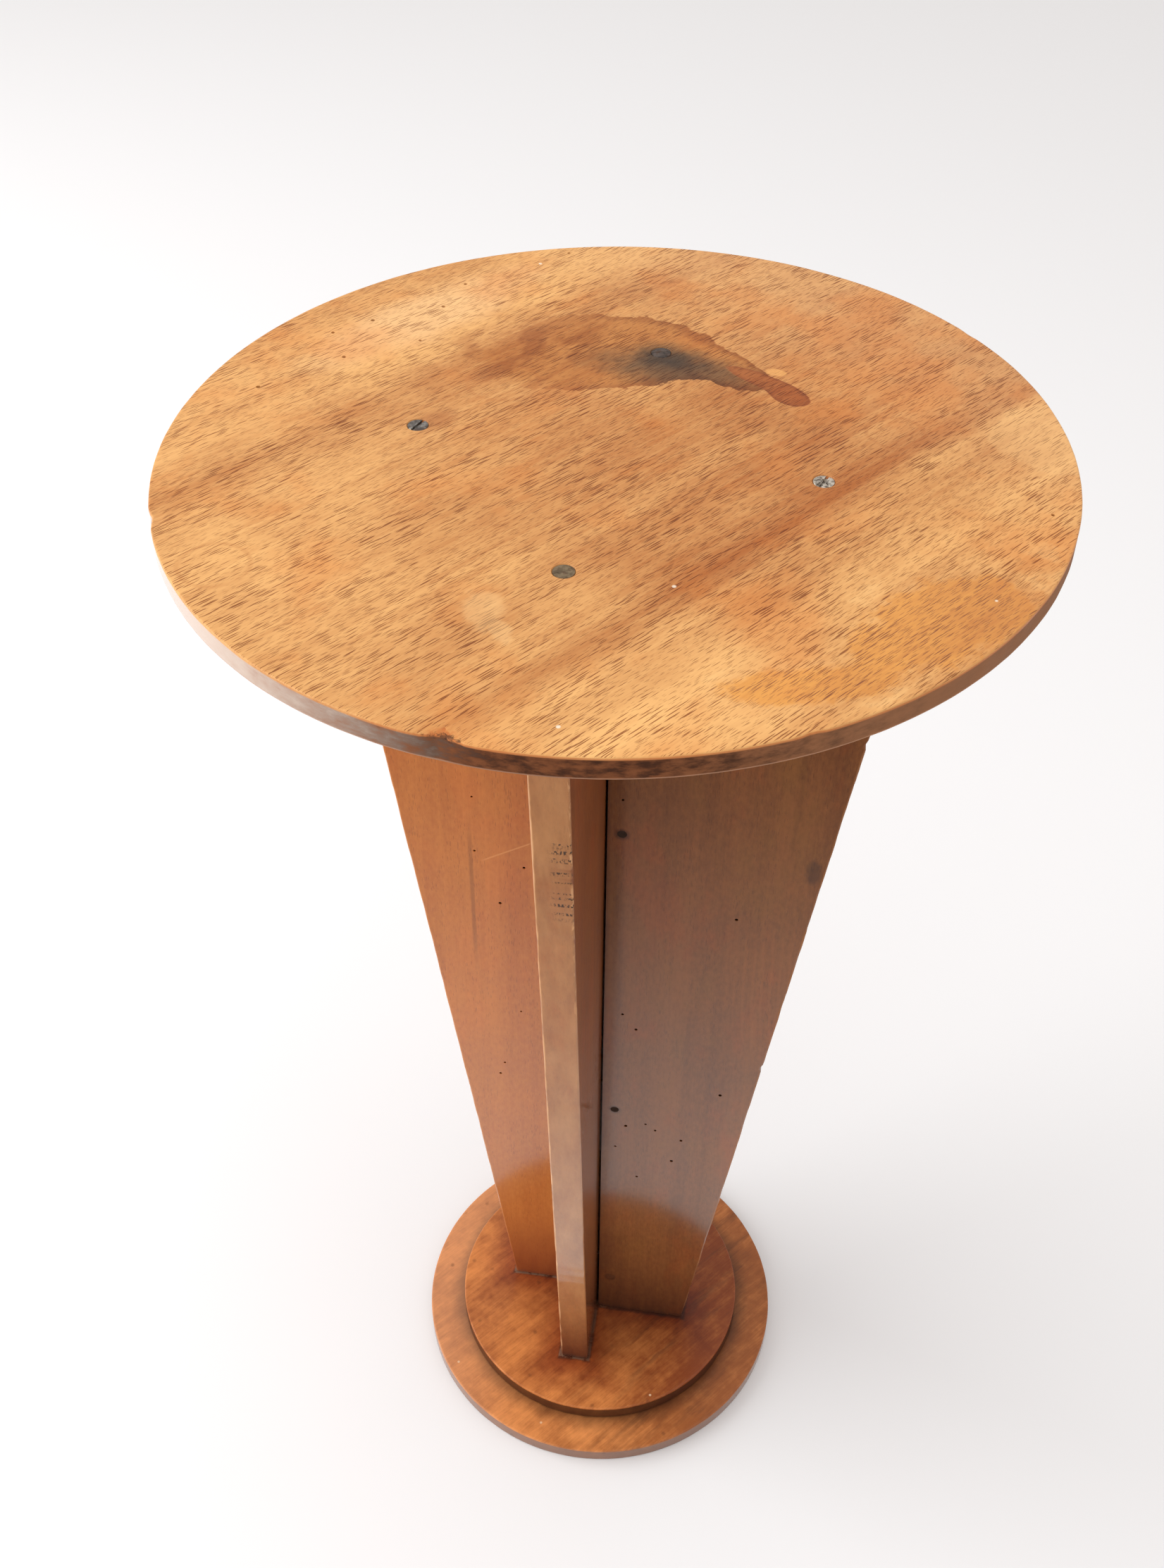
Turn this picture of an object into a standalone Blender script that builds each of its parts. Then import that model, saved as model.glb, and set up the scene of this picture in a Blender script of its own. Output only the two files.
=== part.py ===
"""Round pedestal table in wood: a thin round top on a column of four tapered boards.

The boards stand in a pinwheel. Each one's straight inner edge butts on the face of the next
board, near the middle of the table, so no two of them cross. Only the outer edge of a board
slopes, from wide under the top to narrow on the foot, which makes the column flare upwards.
The foot is two round discs, one on the other.

Origin: centre of the foot's underside. +Z is up, the front board points along -Y.
All lengths are in metres.
"""

import math

import bmesh
import bpy
from mathutils import Matrix, Vector

# ---------------------------------------------------------------- driving dimensions

TOTAL_HEIGHT = 0.690
TOP_ALONG_GRAIN = 0.405
TOP_ACROSS_GRAIN = 0.395  # sawn round, the top has since shrunk across its grain
GRAIN_DIRECTION = 52.0  # of the top, in degrees from +X
STEP_DIAMETER = 0.188
BASE_DIAMETER = 0.235
DISC_THICKNESS = 0.011  # the top and both discs of the foot are sawn from the same boards
BOARD_THICKNESS = 0.018
BOARD_WIDTH_TOP = 0.141
BOARD_WIDTH_FOOT = 0.059

CLEARANCE = 0.0003  # kept between any two pieces that touch
OPEN_JOINT = 0.0014  # the right board has shrunk away from the front board by this much
DISC_ARRIS = 0.0007  # sandpapered corner round the discs
BOARD_ARRIS = 0.0009  # sandpapered corner along the boards' sloping edges

TOP_SCREW_RADIUS = 0.0905  # distance of the top's screws from the middle
BASE_SCREW_RADIUS = 0.038  # distance of the foot's screws from the middle
SCREW_HEAD_RECESS = 0.0001  # how far a screw head lies under the face
SCREW_SLOT_WIDTH = 0.0013
SCREW_SLOT_DEPTH = 0.0011
TOP_SCREW = {"head": 0.0094, "shank": 0.0048, "length": 0.040}
BASE_SCREW = {"head": 0.0084, "shank": 0.0042, "length": 0.045}
SCREW_HEAD_LIP = 0.0003  # height of the head's upright rim above its cone
SCREW_TAPER = 0.92  # the shank's radius where its point starts, as a share of its full radius
SCREW_POINT = 2.2  # length of the point, in shank radii

NAIL = {"head": 0.0048, "shank": 0.0026, "length": 0.045}
NAIL_HEAD_THICKNESS = 0.0010
NAIL_POINT = 3.0  # length of the point, in shank radii
NAIL_PUNCHED_DEPTH = 0.0022  # from the board's face to the nail's head, filled with a plug
PLUG_DIAMETER = 0.0056
NAIL_HEIGHTS = {"low": 0.060, "middle": 0.245, "high": 0.476}
NAIL_STAGGER = 0.014  # the front and back boards' nails are higher, to pass over the others

# Quarter turns of each board round the axis, from the right board's place along +X
QUARTER_TURNS = {"right": 0, "back": 1, "left": 2, "front": 3}
# Direction of each screw's slot, in degrees from +X, as they were last turned
SLOT_DIRECTIONS = {"right": 72.0, "back": 15.0, "left": 68.0, "front": 38.0}

SMOOTH_BELOW = 30.0  # degrees; a sharper corner than this is shaded as an edge
DISC_SEGMENTS = 128
SCREW_SEGMENTS = 24
NAIL_SEGMENTS = 16
CUTTER_MARGIN = 0.002  # how far a cutter reaches past the face that it opens

STEP_BOTTOM = DISC_THICKNESS + CLEARANCE
STEP_TOP = 2 * DISC_THICKNESS
BOARD_BOTTOM = STEP_TOP + CLEARANCE
TOP_BOTTOM = TOTAL_HEIGHT - DISC_THICKNESS
BOARD_TOP = TOP_BOTTOM - CLEARANCE

# ---------------------------------------------------------------- materials


def make_material(name, colour, roughness, metallic=0.0):
    material = bpy.data.materials.new(name)
    material.use_nodes = True
    shader = material.node_tree.nodes["Principled BSDF"]
    shader.inputs["Base Color"].default_value = (*colour, 1.0)
    shader.inputs["Roughness"].default_value = roughness
    shader.inputs["Metallic"].default_value = metallic
    material.diffuse_color = (*colour, 1.0)
    return material


# name: linear colour, roughness, metallic
FINISHES = {
    "top_wood": ((0.52, 0.22, 0.060), 0.40, 0.0),
    "board_wood": ((0.30, 0.115, 0.040), 0.35, 0.0),
    "foot_wood": ((0.40, 0.145, 0.040), 0.38, 0.0),
    "screw_steel": ((0.20, 0.18, 0.16), 0.45, 1.0),
    "nail_steel": ((0.12, 0.10, 0.09), 0.60, 1.0),
    "filler": ((0.035, 0.022, 0.016), 0.85, 0.0),
}

# ---------------------------------------------------------------- mesh helpers


def new_object(name, mesh, finish, parent):
    """A sub-part with its own material, hung on the table's empty."""
    part = bpy.data.objects.new(name, mesh)
    part.data.materials.append(make_material(name + "_" + finish, *FINISHES[finish]))
    part.parent = parent
    bpy.context.scene.collection.objects.link(part)
    return part


def mesh_from(bm, name):
    """A finished mesh, facing out and shaded smooth except at its real edges."""
    bmesh.ops.recalc_face_normals(bm, faces=bm.faces[:])
    mesh = bpy.data.meshes.new(name)
    bm.to_mesh(mesh)
    bm.free()
    mesh.shade_smooth()
    mesh.set_sharp_from_angle(angle=math.radians(SMOOTH_BELOW))
    return mesh


def turned(profile, segments):
    """A solid turned round Z. The profile is (radius, height) points from axis to axis."""
    bm = bmesh.new()
    points = [bm.verts.new((radius, 0, height)) for radius, height in profile]
    edges = [bm.edges.new(pair) for pair in zip(points, points[1:])]
    bmesh.ops.spin(
        bm,
        geom=points + edges,
        cent=(0, 0, 0),
        axis=(0, 0, 1),
        angle=math.tau,
        steps=segments,
        use_merge=True,
        use_duplicate=False,
    )
    bmesh.ops.remove_doubles(bm, verts=bm.verts[:], dist=1e-6)
    return bm


def add_cutters(part, bodies):
    """Cuts several closed shapes out of a part at once. They are given in the part's own frame."""
    joined = bmesh.new()
    for body in bodies:
        bmesh.ops.recalc_face_normals(body, faces=body.faces[:])
        loose = bpy.data.meshes.new("loose")
        body.to_mesh(loose)
        body.free()
        joined.from_mesh(loose)
        bpy.data.meshes.remove(loose)
    mesh = bpy.data.meshes.new(part.name + "_cutter")
    joined.to_mesh(mesh)
    joined.free()
    cutter = bpy.data.objects.new(part.name + "_cutter", mesh)
    cutter.parent = part.parent
    cutter.matrix_basis = part.matrix_basis
    cutter.display_type = "WIRE"
    cutter.hide_render = True
    bpy.context.scene.collection.objects.link(cutter)
    boolean = part.modifiers.new("holes", "BOOLEAN")
    boolean.operation = "DIFFERENCE"
    boolean.solver = "EXACT"
    boolean.object = cutter


def moved(bm, matrix):
    bmesh.ops.transform(bm, matrix=matrix, verts=bm.verts[:])
    return bm


def quarter_turn(side):
    return Matrix.Rotation(QUARTER_TURNS[side] * math.pi / 2, 4, "Z")


# ---------------------------------------------------------------- fasteners
# A fastener stands point down, with its head's top face at height 0.


def screw_profile(size, grow=0.0, above=0.0):
    """Countersunk wood screw. Grown by a clearance, it is the hole that the screw sits in."""
    head = size["head"] / 2 + grow
    shank = size["shank"] / 2 + grow
    tip = size["length"] + grow
    cone = head - shank
    return [
        (0, above),
        (head, above),
        (head, -SCREW_HEAD_LIP),
        (shank, -SCREW_HEAD_LIP - cone),
        (shank * SCREW_TAPER, -tip + SCREW_POINT * shank),
        (0, -tip),
    ]


def screw_mesh(name, size, slot_direction):
    """The screw with its slot sawn across the head."""
    bm = turned(screw_profile(size), SCREW_SEGMENTS)
    body = mesh_from(bm, name)
    length = size["head"] + CUTTER_MARGIN
    slot = bmesh.new()
    bmesh.ops.create_cube(slot, size=1.0)
    scale = Matrix.Diagonal((length, SCREW_SLOT_WIDTH, 2 * SCREW_SLOT_DEPTH, 1.0))
    turn = Matrix.Rotation(math.radians(slot_direction), 4, "Z")
    return body, moved(slot, turn @ scale)


def nail_profile(grow=0.0, above=0.0, head_diameter=NAIL["head"]):
    """Round wire nail with a flat head."""
    head = head_diameter / 2 + grow
    shank = NAIL["shank"] / 2 + grow
    tip = NAIL["length"] + grow
    return [
        (0, above),
        (head, above),
        (head, -NAIL_HEAD_THICKNESS - grow),
        (shank, -NAIL_HEAD_THICKNESS - grow),
        (shank, -tip + NAIL_POINT * shank),
        (0, -tip),
    ]


def top_screw_place(side):
    """Head up, in the top's face, over the middle of that side's board."""
    spot = Vector((TOP_SCREW_RADIUS, -BOARD_THICKNESS / 2, TOTAL_HEIGHT - SCREW_HEAD_RECESS))
    return Matrix.Translation(quarter_turn(side) @ spot)


def base_screw_place(side):
    """Head down, in the foot's underside, under the middle of that side's board."""
    spot = Vector((BASE_SCREW_RADIUS, -BOARD_THICKNESS / 2, SCREW_HEAD_RECESS))
    return Matrix.Translation(quarter_turn(side) @ spot) @ Matrix.Rotation(math.pi, 4, "X")


def nail_place(side, level, depth):
    """Driven square through this side's board into the inner edge of the next board round."""
    height = NAIL_HEIGHTS[level] + NAIL_STAGGER * (QUARTER_TURNS[side] % 2)
    spot = Vector((BOARD_THICKNESS / 2, -BOARD_THICKNESS + depth, height))
    face_on = Matrix.Rotation(math.pi / 2, 4, "X")  # turns the point from -Z to +Y
    return quarter_turn(side) @ Matrix.Translation(spot) @ face_on


def screw_hole(size, place):
    return moved(turned(screw_profile(size, CLEARANCE, CUTTER_MARGIN), SCREW_SEGMENTS), place)


def nail_hole(side, level):
    """The nail's way in, with a wider bore over its head that the plug fills."""
    bore = turned(
        nail_profile(CLEARANCE, NAIL_PUNCHED_DEPTH + CUTTER_MARGIN, PLUG_DIAMETER),
        NAIL_SEGMENTS,
    )
    return moved(bore, nail_place(side, level, NAIL_PUNCHED_DEPTH))


# ---------------------------------------------------------------- wooden pieces


def disc_mesh(name, diameter, bottom, top):
    """A sawn round of board with its two corners eased by sandpaper."""
    radius = diameter / 2
    profile = [
        (0, top),
        (radius - DISC_ARRIS, top),
        (radius, top - DISC_ARRIS),
        (radius, bottom + DISC_ARRIS),
        (radius - DISC_ARRIS, bottom),
        (0, bottom),
    ]
    return mesh_from(turned(profile, DISC_SEGMENTS), name)


def board_mesh(name, inner_edge):
    """A tapered board as it stands on the right: out along +X, its back face on the plane y = 0."""
    bm = bmesh.new()
    outline = [
        bm.verts.new((inner_edge, 0, BOARD_BOTTOM)),
        bm.verts.new((BOARD_WIDTH_FOOT, 0, BOARD_BOTTOM)),
        bm.verts.new((BOARD_WIDTH_TOP, 0, BOARD_TOP)),
        bm.verts.new((inner_edge, 0, BOARD_TOP)),
    ]
    face = bm.faces.new(outline)
    grown = bmesh.ops.extrude_face_region(bm, geom=[face])["geom"]
    front = [item for item in grown if isinstance(item, bmesh.types.BMVert)]
    bmesh.ops.translate(bm, verts=front, vec=(0, -BOARD_THICKNESS, 0))
    sloping = [
        edge
        for edge in bm.edges
        if edge.calc_length() > TOTAL_HEIGHT / 2 and min(v.co.x for v in edge.verts) > inner_edge
    ]
    bmesh.ops.bevel(
        bm, geom=sloping, offset=BOARD_ARRIS, segments=2, profile=0.5, affect="EDGES", material=-1
    )
    return mesh_from(bm, name)


# ---------------------------------------------------------------- assembly


def build_foot(table):
    """Two discs, screwed together and to the boards from below."""
    levels = {
        "base_disc": (BASE_DIAMETER, 0.0, DISC_THICKNESS),
        "step_disc": (STEP_DIAMETER, STEP_BOTTOM, STEP_TOP),
    }
    for name, (diameter, bottom, top) in levels.items():
        disc = new_object(name, disc_mesh(name, diameter, bottom, top), "foot_wood", table)
        add_cutters(disc, [screw_hole(BASE_SCREW, base_screw_place(side)) for side in QUARTER_TURNS])


def build_boards(table):
    """Four boards in a pinwheel, each drilled for its own nails, its neighbour's and the screws."""
    sides = list(QUARTER_TURNS)
    for index, side in enumerate(sides):
        name = side + "_board"
        inner_edge = OPEN_JOINT if side == "right" else CLEARANCE
        board = new_object(name, board_mesh(name, inner_edge), "board_wood", table)
        turn = quarter_turn(side)
        board.matrix_basis = turn
        neighbour = sides[index - 1]
        holes = [
            screw_hole(TOP_SCREW, top_screw_place(side)),
            screw_hole(BASE_SCREW, base_screw_place(side)),
        ]
        for level in NAIL_HEIGHTS:
            holes.append(nail_hole(side, level))
            holes.append(nail_hole(neighbour, level))
        add_cutters(board, [moved(hole, turn.inverted()) for hole in holes])


def build_top(table):
    """The top is a round that is slightly narrower across its grain than along it."""
    mesh = disc_mesh("top_board", TOP_ALONG_GRAIN, TOP_BOTTOM, TOTAL_HEIGHT)
    along_grain = Matrix.Rotation(math.radians(GRAIN_DIRECTION), 4, "Z")
    shrink = Matrix.Diagonal((1.0, TOP_ACROSS_GRAIN / TOP_ALONG_GRAIN, 1.0, 1.0))
    mesh.transform(along_grain @ shrink @ along_grain.inverted())
    top = new_object("top_board", mesh, "top_wood", table)
    add_cutters(top, [screw_hole(TOP_SCREW, top_screw_place(side)) for side in QUARTER_TURNS])


def build_screws(table):
    for side in QUARTER_TURNS:
        kinds = {
            "top_screw_" + side: (TOP_SCREW, top_screw_place(side), SLOT_DIRECTIONS[side]),
            "base_screw_" + side: (BASE_SCREW, base_screw_place(side), SLOT_DIRECTIONS[side]),
        }
        for name, (size, place, direction) in kinds.items():
            mesh, slot = screw_mesh(name, size, direction)
            screw = new_object(name, mesh, "screw_steel", table)
            screw.matrix_basis = place
            add_cutters(screw, [slot])


def build_nails(table):
    """Wire nails, punched under the face, with a plug of dark filler over each head."""
    plug = [
        (0, 0),
        (PLUG_DIAMETER / 2, 0),
        (PLUG_DIAMETER / 2, -NAIL_PUNCHED_DEPTH + CLEARANCE),
        (0, -NAIL_PUNCHED_DEPTH + CLEARANCE),
    ]
    for side in QUARTER_TURNS:
        for level in NAIL_HEIGHTS:
            name = "nail_" + side + "_" + level
            mesh = mesh_from(turned(nail_profile(), NAIL_SEGMENTS), name)
            nail = new_object(name, mesh, "nail_steel", table)
            nail.matrix_basis = nail_place(side, level, NAIL_PUNCHED_DEPTH)
            name = "plug_" + side + "_" + level
            mesh = mesh_from(turned(plug, NAIL_SEGMENTS), name)
            filler = new_object(name, mesh, "filler", table)
            filler.matrix_basis = nail_place(side, level, 0.0)


def main():
    for old in list(bpy.data.objects):
        bpy.data.objects.remove(old, do_unlink=True)
    table = bpy.data.objects.new("pedestal_table", None)
    bpy.context.scene.collection.objects.link(table)
    build_foot(table)
    build_boards(table)
    build_top(table)
    build_screws(table)
    build_nails(table)


main()
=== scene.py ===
# %% [markdown] # A worn round pedestal table  The table is a thin round top on four tapered boards,
# which stand on a foot of two discs. Its engineering model is already made: every board, screw and
# nail has its place there. This lesson builds the looks round it: wood with pores and stains, worn
# edges, tarnished screws.

import math

import bmesh
import bpy
from mathutils import Matrix, Vector, noise


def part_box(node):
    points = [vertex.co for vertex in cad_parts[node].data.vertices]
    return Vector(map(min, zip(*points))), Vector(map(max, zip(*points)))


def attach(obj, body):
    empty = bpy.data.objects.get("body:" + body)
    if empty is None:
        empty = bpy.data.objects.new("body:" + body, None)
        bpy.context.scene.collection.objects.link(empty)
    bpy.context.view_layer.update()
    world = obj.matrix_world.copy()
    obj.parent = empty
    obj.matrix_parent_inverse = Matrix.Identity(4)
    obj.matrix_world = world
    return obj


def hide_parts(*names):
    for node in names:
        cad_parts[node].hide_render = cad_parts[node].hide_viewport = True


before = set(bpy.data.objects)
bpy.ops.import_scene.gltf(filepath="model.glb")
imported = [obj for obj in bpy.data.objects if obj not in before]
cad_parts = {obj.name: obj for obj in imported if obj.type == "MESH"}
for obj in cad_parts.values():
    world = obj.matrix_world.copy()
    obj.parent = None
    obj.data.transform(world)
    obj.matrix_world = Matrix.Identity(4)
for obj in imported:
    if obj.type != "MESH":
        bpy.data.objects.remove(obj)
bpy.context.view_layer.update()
MM = 0.001

# %% [markdown]
# ## Where things are
#
# All sizes come from the model's own boxes, so the new pieces can't drift away from it. The only
# size that a box doesn't tell is the way the grain runs in the top, which has shrunk across its
# grain and is a slight oval. Its longest and shortest widths are 405 and 395 mm.

# %% Measure the model
SIDES = ("right", "back", "left", "front")
GRAIN = math.radians(52)
TOP_LONG, TOP_SHORT = 405 * MM, 395 * MM

top_low, top_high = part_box("top_board")
step_low, step_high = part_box("step_disc")
base_low, base_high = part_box("base_disc")
TOP_FACE, TOP_UNDER = top_high.z, top_low.z


def middle_of(node):
    """The middle of a node's box."""
    low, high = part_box(node)
    return (low + high) / 2


print("top from", round(TOP_UNDER, 4), "to", round(TOP_FACE, 4))

# %% [markdown]
# ## Camera
#
# The table is seen from a little above its top, looking down by 43 degrees, and from a few degrees
# round to its right. The lens is short, so the foot looks much smaller than the top. The camera is
# turned in three steps, each about its own axis: heading, tilt, and a very small roll.

# %% Camera
CAMERA_PLACE = Vector((0.0813, -0.6518, 1.0984))
CAMERA_HEADING = 0.1459
CAMERA_TILT = 0.8262
CAMERA_ROLL = 0.0051

camera = bpy.data.objects.new("camera", bpy.data.cameras.new("camera"))
camera.data.lens = 40.0
camera.data.sensor_width = 36.0
camera.matrix_world = (
    Matrix.Translation(CAMERA_PLACE)
    @ Matrix.Rotation(CAMERA_HEADING, 4, "Z")
    @ Matrix.Rotation(CAMERA_TILT, 4, "X")
    @ Matrix.Rotation(CAMERA_ROLL, 4, "Z")
)
bpy.context.scene.collection.objects.link(camera)
bpy.context.scene.camera = camera
bpy.context.scene.view_settings.view_transform = "Standard"
print("camera at", [round(c, 3) for c in camera.matrix_world.translation])

# %% [markdown]
# ## Shader maths
#
# A finish is a network of nodes, and most of them are small sums. Adding each one by hand hides the
# idea, so a Wire wraps an output socket and lets Python's own signs add the Math nodes. Colours are
# written as a screen shows them, and `paint` turns them into light.

# %% Colours and wires
def paint(red, green, blue):
    """A colour picked on a screen, from 0 to 255, as the light that it stands for."""
    shares = [c / 255 for c in (red, green, blue)]
    light = [c / 12.92 if c < 0.04 else ((c + 0.055) / 1.055) ** 2.4 for c in shares]
    return (*light, 1.0)


def stain(before, after):
    """What a stain multiplies by, where it turns one screen colour into another."""
    shares = [b / a for a, b in zip(paint(*before)[:3], paint(*after)[:3])]
    return (*shares, 1.0)


class Wire:
    """An output of a finish's node. Sums written with it become Math nodes."""

    def __init__(self, finish, socket):
        self.finish = finish
        self.socket = socket

    def maths(self, operation, left, right):
        """Adds one Math node. The signs below all come here."""
        return self.finish.node("ShaderNodeMath", {"operation": operation}, {0: left, 1: right})

    def __add__(self, other):
        return self.maths("ADD", self, other)

    def __radd__(self, other):
        return self.maths("ADD", other, self)

    def __sub__(self, other):
        return self.maths("SUBTRACT", self, other)

    def __rsub__(self, other):
        return self.maths("SUBTRACT", other, self)

    def __mul__(self, other):
        return self.maths("MULTIPLY", self, other)

    def __rmul__(self, other):
        return self.maths("MULTIPLY", other, self)

    def least(self, other):
        """The lesser of two, spot by spot."""
        return self.maths("MINIMUM", self, other)

    def most(self, other):
        """The greater of two, spot by spot."""
        return self.maths("MAXIMUM", self, other)

    def melted(self, other, reach):
        """The lesser of two, with the corner between them rounded off."""
        values = {0: self, 1: other, 2: reach}
        return self.finish.node("ShaderNodeMath", {"operation": "SMOOTH_MIN"}, values)

    def size(self):
        """The value without its sign."""
        return self.maths("ABSOLUTE", self, 0.0)


print("honey brown is", [round(c, 3) for c in paint(215, 145, 90)])

# %% [markdown]
# ## Finishes
#
# A Finish is a material in the making. Its `node` method adds any kind of node, and the others are
# the few that wood needs: places, noise, cells, smooth steps, layers of colour, and relief.

# %% Finishes
class Finish:
    """A material in the making."""

    def __init__(self, name):
        self.material = bpy.data.materials.new(name)
        self.material.use_nodes = True
        self.tree = self.material.node_tree
        self.shader = self.tree.nodes["Principled BSDF"]

    def node(self, kind, settings, values, output=0):
        """Adds a node: its settings first, then what goes into its sockets."""
        made = self.tree.nodes.new(kind)
        for name, value in settings.items():
            if name == "stops":
                ramp = made.color_ramp
                while len(ramp.elements) < len(value):
                    ramp.elements.new(1.0)
                for element, (position, colour) in zip(ramp.elements, value):
                    element.position = position
                    element.color = colour
            else:
                setattr(made, name, value)
        for key, value in values.items():
            self.feed(made.inputs[key], value)
        return Wire(self, made.outputs[output])

    def feed(self, socket, value):
        """Links a wire to a socket, or sets the socket to a plain value."""
        if isinstance(value, Wire):
            self.tree.links.new(value.socket, socket)
        else:
            socket.default_value = value

    def wear(self, **sockets):
        """Feeds the shader's own sockets, with spaces written as underlines."""
        for name, value in sockets.items():
            self.feed(self.shader.inputs[name.replace("_", " ")], value)

    def spot(self, centre=(0, 0, 0), size=(1, 1, 1), turn=(0, 0, 0)):
        """Coordinates with their zero at a place, measured in the given sizes."""
        here = self.node("ShaderNodeTexCoord", {}, {}, "Object")
        values = {"Vector": here, "Location": centre, "Rotation": turn, "Scale": size}
        return self.node("ShaderNodeMapping", {"vector_type": "TEXTURE"}, values)

    def part(self, place, axis):
        """One of the three coordinates of a place: "X", "Y" or "Z"."""
        return self.node("ShaderNodeSeparateXYZ", {}, {0: place}, axis)

    def clouds(self, place, detail=2.0, roughness=0.5):
        """Noise from 0 to 1, about one lump to a unit."""
        values = {"Vector": place, "Scale": 1.0, "Detail": detail, "Roughness": roughness}
        return self.node("ShaderNodeTexNoise", {}, values)

    def lumps(self, size, detail=2.0, roughness=0.5):
        """Noise with lumps of one size in every direction."""
        return self.clouds(self.spot(size=(size, size, size)), detail, roughness)

    def cells(self, place, dimensions="3D"):
        """The distance to the nearest of many scattered points, one to a unit."""
        values = {"Vector": place, "Scale": 1.0}
        return self.node("ShaderNodeTexVoronoi", {"voronoi_dimensions": dimensions}, values)

    def rise(self, value, low, high):
        """0 up to low and 1 from high, smooth between. It falls where low is the larger."""
        values = {"Value": value, "From Min": low, "From Max": high}
        return self.node("ShaderNodeMapRange", {"interpolation_type": "SMOOTHSTEP"}, values)

    def mix(self, amount, under, over, blend="MIX"):
        """Lays one colour over another."""
        settings = {"data_type": "RGBA", "blend_type": blend}
        return self.node("ShaderNodeMix", settings, {0: amount, 6: under, 7: over}, 2)

    def soak(self, amount, wood, before, after):
        """Stains the wood: where it had the first screen colour, it gets the second."""
        return self.mix(amount, wood, stain(before, after), "MULTIPLY")

    def length(self, place):
        """Distance from the zero of the coordinates."""
        return self.node("ShaderNodeVectorMath", {"operation": "LENGTH"}, {0: place}, "Value")

    def bump(self, height, distance, strength=1.0):
        """Raises and lowers the surface's shading by a height."""
        values = {"Height": height, "Distance": distance, "Strength": strength}
        return self.node("ShaderNodeBump", {}, values)


print("a finish can add:", [name for name in vars(Finish) if name[0] != "_"])

# %% [markdown]
# ## Wood of the top
#
# The top is one open-pored board. Four things make such wood: broad bands of colour along the
# grain, finer streaks within them, a silky fibre, and short dark pores. Each is noise or cells on
# coordinates that run along the grain, which `plank` gives. A `blot` is the outline of a mark.

# %% Helpers for wood
# The almost black colour painted inside holes: painted shade, where the light can't reach.
HOLE_SHADE = paint(34, 20, 12)


def plank(finish, length, width):
    """Coordinates along the top's grain, in units of the given length and width."""
    return finish.spot((0, 0, 0), (length, width, width), (0, 0, GRAIN))


def pores(finish, place, place_of_groups, shortest, longest, dimensions="3D"):
    """Short dark dashes, one to a cell, larger in some places than in others."""
    distance = finish.cells(place, dimensions)
    crowd = finish.clouds(place_of_groups, 2.0)
    size = finish.rise(crowd, 0.30, 0.70) * (longest - shortest) + shortest
    return finish.rise(distance - size, 0.05, -0.05)


def blot(finish, centre, radii, turn=0.0, wobble=0.0, ripple=0.02):
    """Distance from the middle of an oval mark: 1 is its outline, which the wobble bends."""
    x, y = centre
    place = finish.spot((x * MM, y * MM, TOP_FACE), (radii[0] * MM, radii[1] * MM, 1), (0, 0, turn))
    distance = finish.length(place)
    if wobble:
        waves = finish.lumps(ripple, 2.0)
        distance = distance + (waves - 0.5) * wobble
    return distance


print("the inside of a hole is", [round(c, 3) for c in HOLE_SHADE])

# %% [markdown]
# ## Bands and streaks
#
# A sawn board isn't one colour from side to side, because each year of growth shows as a band. The
# list says how light the wood is at each distance from the middle, in millimetres, and a colour
# ramp reads it. A ramp is used, not one noise, because each band of this board has its own place.
# Streaks and blotches are added, and the sum picks a shade between dark and light honey brown.

# %% Bands and streaks of the top
HONEY_DARK = paint(168, 97, 46)
HONEY_LIGHT = paint(238, 184, 117)
HONEY_PALE = paint(244, 200, 146)
HONEY_WARM = paint(206, 114, 40)
HALF_BOARD = 200 * MM
LIGHT_ACROSS = [(-184, 0.50), (-160, 0.68), (-136, 0.66), (-124, 0.54), (-113, 0.34), (-101, 0.46)]
LIGHT_ACROSS += [(-94, 0.24), (-88, 0.02), (-82, 0.20), (-64, 0.28), (-52, 0.14), (-38, 0.30)]
LIGHT_ACROSS += [(0, 0.26), (44, 0.40), (84, 0.46), (104, 0.32), (115, 0.52), (128, 0.70)]
LIGHT_ACROSS += [(160, 0.78), (190, 0.60)]

top_finish = Finish("top_wood")
f = top_finish
streak = f.clouds(plank(f, 0.16, 0.0042), 4.0, 0.6)
silk = f.clouds(plank(f, 0.045, 0.0016), 3.0, 0.6)
fibre = f.clouds(plank(f, 0.022, 0.0008), 2.0, 0.6)
blotch = f.lumps(0.045, 4.0, 0.6)
bend = f.clouds(plank(f, 0.22, 0.035), 2.0) - 0.5

along = f.part(plank(f, 1.0, 1.0), "X")
across = f.part(plank(f, 1.0, 1.0), "Y") + bend * 0.016
stops = [(0.5 + v * MM / (2 * HALF_BOARD), (light, light, light, 1)) for v, light in LIGHT_ACROSS]
band = f.node("ShaderNodeValToRGB", {"stops": stops}, {0: across * (0.5 / HALF_BOARD) + 0.5})
tone = (
    band
    + (streak - 0.5) * 0.65
    + (silk - 0.5) * 0.34
    + (blotch - 0.5) * 0.75
    + (fibre - 0.5) * 0.30
    + f.rise(along, 0.0, -0.17) * f.rise(across, 0.12, 0.06) * 0.36
    + f.rise(along, 0.04, 0.17) * 0.04
)
wood = f.mix(f.rise(tone, -0.25, 1.25), HONEY_DARK, HONEY_LIGHT)
pale_end = f.rise(along, 0.07, 0.18) * 0.20
pale_side = f.rise(blot(f, (-110, 108), (78, 24), GRAIN, 0.6, 0.03), 1.15, 0.4) * 0.50
wood = f.mix(pale_end.most(pale_side), wood, HONEY_PALE)
warmth = f.clouds(f.spot((0.3, 0, 0), (0.060, 0.060, 0.060)), 3.0, 0.6)
wood = f.mix(f.rise(warmth, 0.46, 0.70) * 0.34, wood, HONEY_WARM)
print("bands across the top:", len(LIGHT_ACROSS))

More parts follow.
